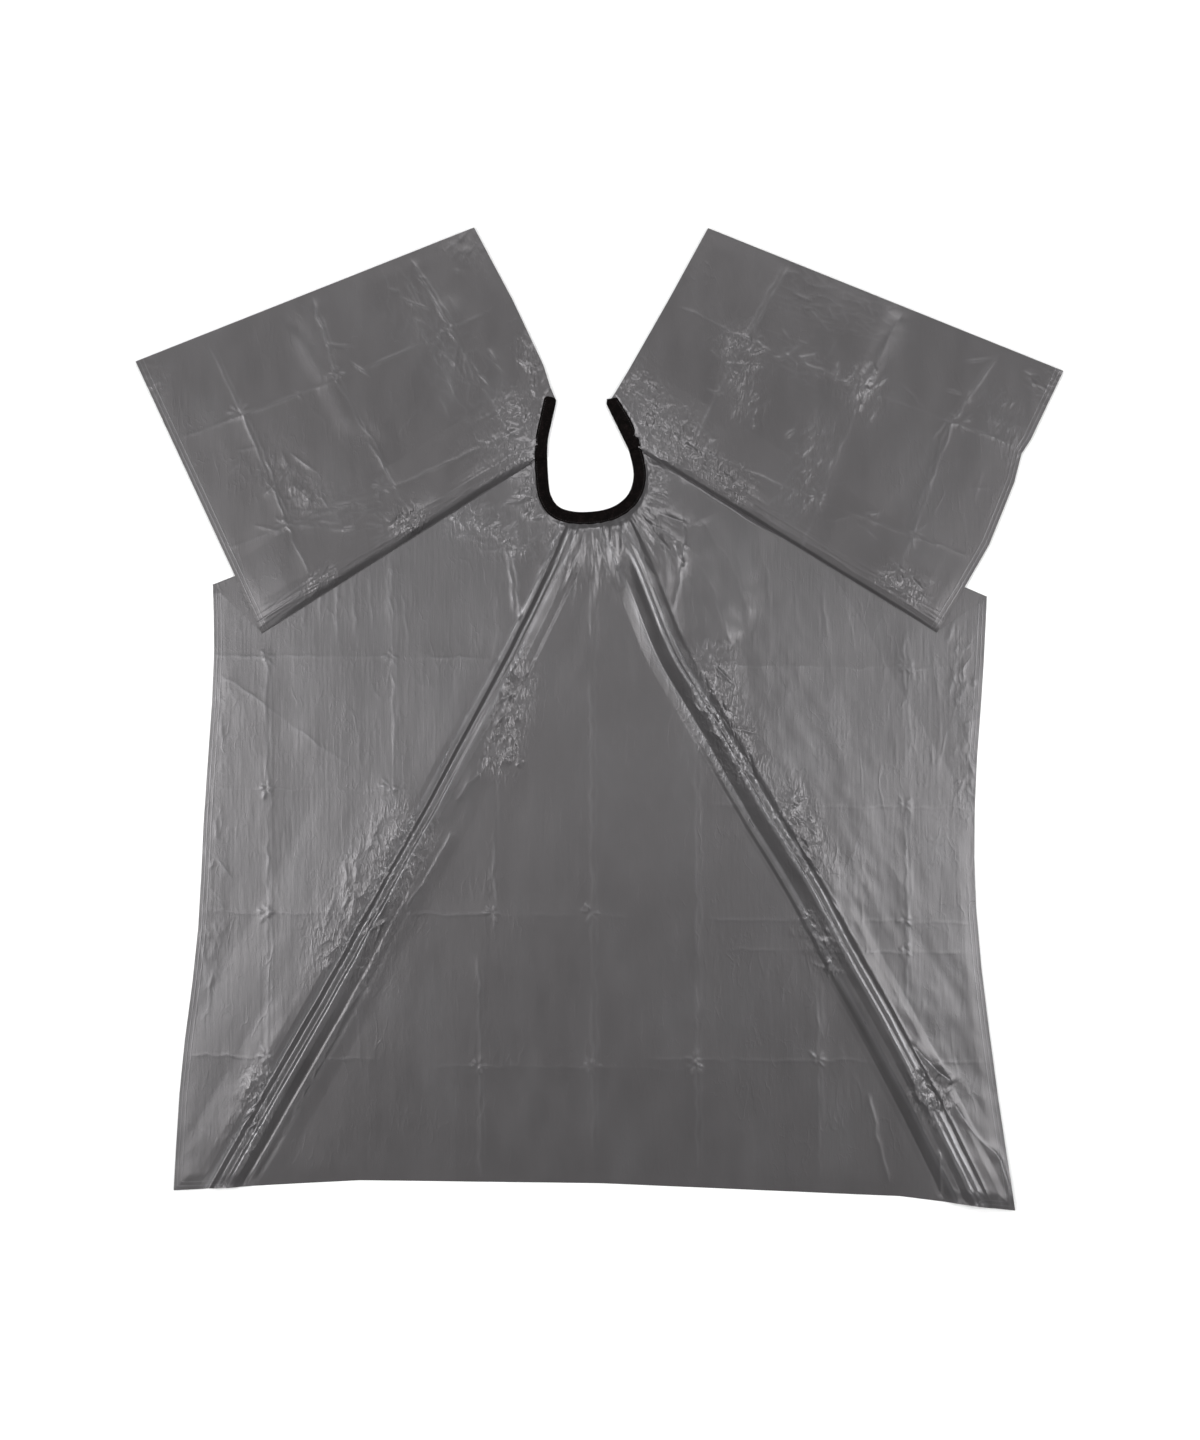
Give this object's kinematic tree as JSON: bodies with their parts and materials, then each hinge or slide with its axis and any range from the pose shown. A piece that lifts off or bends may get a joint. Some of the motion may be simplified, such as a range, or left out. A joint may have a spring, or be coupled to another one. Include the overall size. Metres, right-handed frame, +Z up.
{
  "type": "barber cape",
  "caption": "Plastic-film hairdressing cape laid open flat, with pile neckband, back slit, hook closure and accordion shoulder pleats that let the back panels fold over the front.",
  "frame": {"origin": "on the surface that the cape lies on, under the middle of its outline", "axes": "+Z up out of the cape's outside face, +Y from the hem towards the back slit, +X to the right seen from above"},
  "size_m": [1.3906, 1.4734, 0.0142],
  "materials": {
    "film": "thin dark grey plastic film, satin, creased from packing",
    "pile_tape": "black brushed pile tape",
    "hook_tape": "black hook fastener tape",
    "thread": "black sewing thread"
  },
  "bodies": {
    "front": {"front_panel": "film", "neckband_front": "pile_tape", "neckband_front_stitching": "thread"},
    "left_pleat": {"left_pleat_panel": "film"},
    "left_back": {"left_back_panel": "film", "neckband_left_arm": "pile_tape", "hook_fastener": "hook_tape", "neckband_left_stitching": "thread"},
    "right_pleat": {"right_pleat_panel": "film"},
    "right_back": {"right_back_panel": "film", "neckband_right_arm": "pile_tape", "neckband_right_stitching": "thread"}
  },
  "joints": [
    {"name": "left_pleat_fold", "type": "hinge", "parent": "front", "child": "left_pleat", "pos_m": [-0.08794, 0.39433, 0.0011], "axis": [-0.9306, -0.366, 0], "range_deg": [0, 180]},
    {"name": "left_back_fold", "type": "hinge", "parent": "left_pleat", "child": "left_back", "pos_m": [-0.08794, 0.39433, 0.0031], "axis": [-0.8446, -0.5354, 0], "range_deg": [-180, 0]},
    {"name": "right_pleat_fold", "type": "hinge", "parent": "front", "child": "right_pleat", "pos_m": [0.05231, 0.40933, 0.0011], "axis": [-0.9192, 0.3938, 0], "range_deg": [0, 180]},
    {"name": "right_back_fold", "type": "hinge", "parent": "right_pleat", "child": "right_back", "pos_m": [0.05231, 0.40933, 0.0031], "axis": [-0.8518, 0.5238, 0], "range_deg": [-180, 0]}
  ],
  "couplings": [
    {"joint": "left_back_fold", "follows": "left_pleat_fold", "ratio": -1},
    {"joint": "right_back_fold", "follows": "right_pleat_fold", "ratio": -1}
  ]
}
